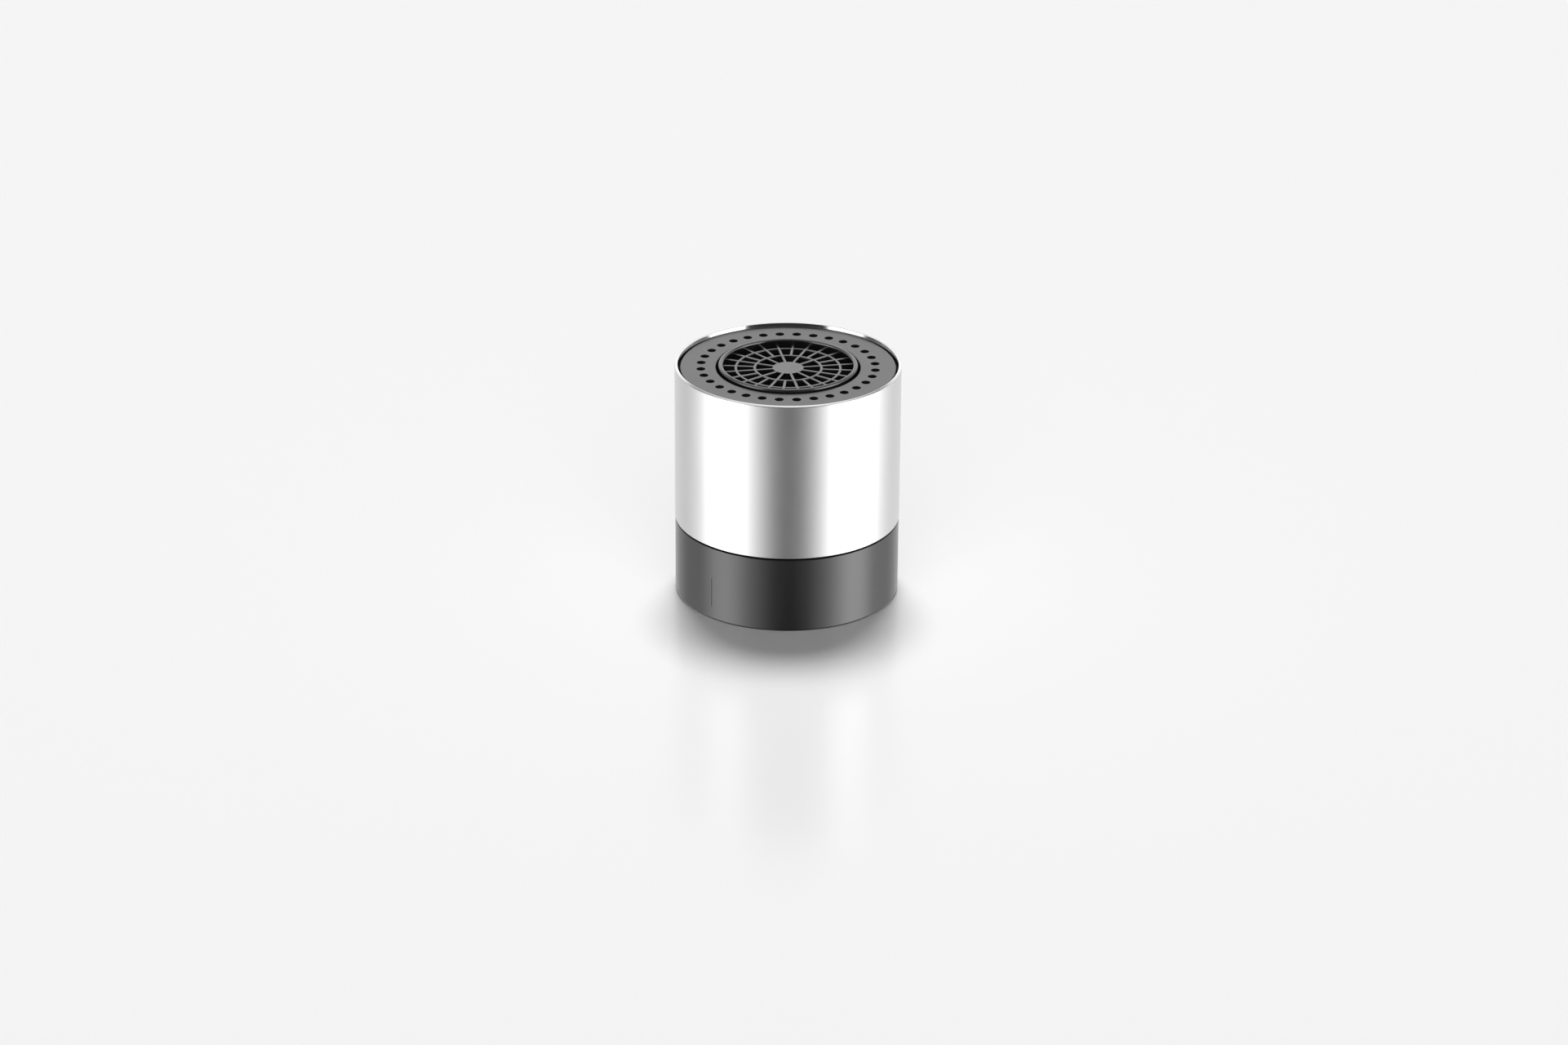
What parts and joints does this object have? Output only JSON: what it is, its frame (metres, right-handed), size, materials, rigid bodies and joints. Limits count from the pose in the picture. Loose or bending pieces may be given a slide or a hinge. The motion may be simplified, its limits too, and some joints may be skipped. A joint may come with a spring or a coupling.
{
  "type": "tap aerator",
  "caption": "Cylindrical two-jet tap aerator: metal sleeve on a dark threaded collar, recessed spray face round a spoked aerator insert, head turns to switch jets.",
  "frame": {"origin": "centre of the collar's inlet face", "axes": "+Z along the axis from the inlet to the outlet face, +X and +Y across it"},
  "size_m": [0.0318, 0.0318, 0.034],
  "materials": {
    "sleeve_metal": "satin bright plating",
    "collar_plastic": "satin black moulding",
    "face_plastic": "satin black moulding",
    "inner_plastic": "black moulding",
    "seal_rubber": "black rubber",
    "steel": "stainless"
  },
  "bodies": {
    "inlet": {"inlet_collar": "collar_plastic", "inlet_washer": "seal_rubber", "inlet_strainer": "steel", "stem_seal": "seal_rubber", "port_seal_1": "seal_rubber", "port_seal_2": "seal_rubber", "pivot_washer": "steel", "pivot_screw": "steel"},
    "head": {"sleeve": "sleeve_metal", "diverter_core": "inner_plastic", "spray_face": "face_plastic", "face_gasket_outer": "seal_rubber", "face_gasket_inner": "seal_rubber", "aerator_housing": "face_plastic", "screw_seal": "seal_rubber", "aerator_gasket": "seal_rubber", "jet_plate": "inner_plastic", "screen_lower": "inner_plastic", "screen_spacer": "inner_plastic", "screen_upper": "inner_plastic"}
  },
  "joints": [
    {"name": "head_twist", "type": "hinge", "parent": "inlet", "child": "head", "pos_m": [0, 0, 0.0191], "axis": [0, 0, 1], "range_deg": [0, 90]}
  ]
}
